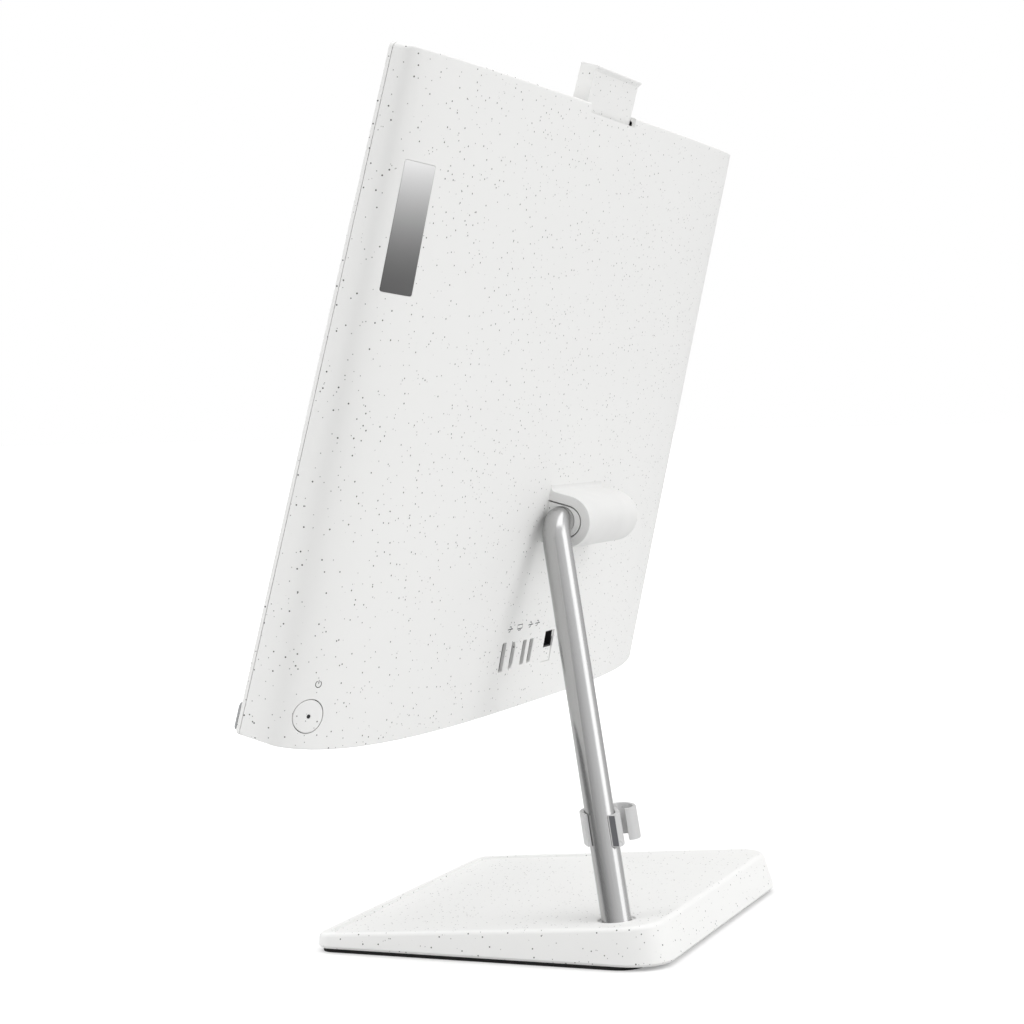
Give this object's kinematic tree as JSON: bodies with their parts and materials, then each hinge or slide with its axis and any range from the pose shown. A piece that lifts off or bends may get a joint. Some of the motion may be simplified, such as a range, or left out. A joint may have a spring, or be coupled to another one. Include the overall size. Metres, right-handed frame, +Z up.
{
  "type": "all-in-one pc",
  "caption": "All-in-one computer: a flat screen half with rear sockets, pop-up camera and side power button, hinged on a bent steel tube stand with a wedge base and cable clip.",
  "frame": {"origin": "middle of the base's footprint, on the table that the rubber foot rests on", "axes": "+Z up, the screen faces -Y, +X on the right of someone looking at the screen"},
  "size_m": [0.541, 0.2062, 0.4951],
  "materials": {
    "white_plastic": "moulded white plastic with fine dark specks, satin",
    "translucent_plastic": "pale translucent plastic, smooth",
    "black_plastic": "moulded black plastic, matt",
    "screen_black": "dark display glass, smooth",
    "speaker_cloth": "fine woven acoustic cloth",
    "stand_steel": "satin brushed steel tube",
    "badge_metal": "brushed metal foil, plain, without a mark",
    "sheet_steel": "plated sheet steel",
    "dark_steel": "blackened steel",
    "copper": "bare copper",
    "aluminium": "mill-finish aluminium",
    "light_guide": "stack of clear light-guide sheets with a white back",
    "circuit_board": "green solder mask",
    "chip_black": "moulded chip package",
    "rubber": "black rubber sheet"
  },
  "bodies": {
    "stand": {"stand_tube": "stand_steel", "hinge_shaft": "dark_steel", "friction_washer_1": "copper", "friction_washer_2": "copper", "hinge_nut": "dark_steel", "tube_flange": "dark_steel", "flange_screw_1": "dark_steel", "flange_screw_2": "dark_steel", "flange_screw_3": "dark_steel", "base_shell": "white_plastic", "base_weight": "dark_steel", "base_plate": "sheet_steel", "rubber_foot": "rubber"},
    "screen": {"back_cover": "white_plastic", "front_bezel": "white_plastic", "screen_face": "screen_black", "backlight_tray": "light_guide", "speaker_bar": "speaker_cloth", "badge_plate": "badge_metal", "chassis_plate": "sheet_steel", "fan_housing": "black_plastic", "heat_sink": "aluminium", "heat_pipe": "copper", "system_board": "circuit_board", "processor": "chip_black", "cold_plate": "copper", "memory_module_1": "circuit_board", "memory_module_2": "circuit_board", "storage_module": "circuit_board", "wireless_card": "circuit_board", "port_board": "circuit_board", "usb_port_1": "sheet_steel", "video_port": "sheet_steel", "usb_port_2": "sheet_steel", "usb_port_3": "sheet_steel", "network_port": "black_plastic", "power_inlet": "black_plastic", "hard_drive": "aluminium", "drive_bracket": "sheet_steel", "speaker_left": "black_plastic", "speaker_right": "black_plastic", "antenna_left": "circuit_board", "antenna_right": "circuit_board", "webcam_guide": "black_plastic", "power_switch": "circuit_board", "hinge_housing": "white_plastic", "hinge_end_cap": "white_plastic", "hinge_bracket": "dark_steel", "bracket_screw_1": "dark_steel", "bracket_screw_2": "dark_steel"},
    "button": {"power_button": "white_plastic", "power_light": "chip_black"},
    "webcam": {"webcam_body": "white_plastic", "webcam_face": "screen_black", "webcam_lens": "screen_black"},
    "fan": {"fan_rotor": "black_plastic"},
    "clip": {"cable_clip": "translucent_plastic"}
  },
  "joints": [
    {"name": "screen_tilt", "type": "hinge", "parent": "stand", "child": "screen", "pos_m": [0, 0.0163, 0.2384], "axis": [-1, 0, 0], "range_deg": [-20.6, 4.4]},
    {"name": "webcam_slide", "type": "slide", "parent": "screen", "child": "webcam", "axis": [0, 0.2689, 0.9632], "range_m": [-0.021, 0]},
    {"name": "power_button_press", "type": "slide", "parent": "screen", "child": "button", "axis": [-0.5736, -0.789, 0.2203], "range_m": [0, 0.0008], "stiffness_N_per_m": 1200, "springref_m": -0.0004},
    {"name": "fan_spin", "type": "hinge", "parent": "screen", "child": "fan", "pos_m": [-0.17, 0.01146, 0.38095], "axis": [0, 0.9632, -0.2689], "continuous": true},
    {"name": "clip_slide", "type": "slide", "parent": "stand", "child": "clip", "axis": [-0.2596, -0.2314, 0.9376], "range_m": [-0.034, 0.09]}
  ]
}
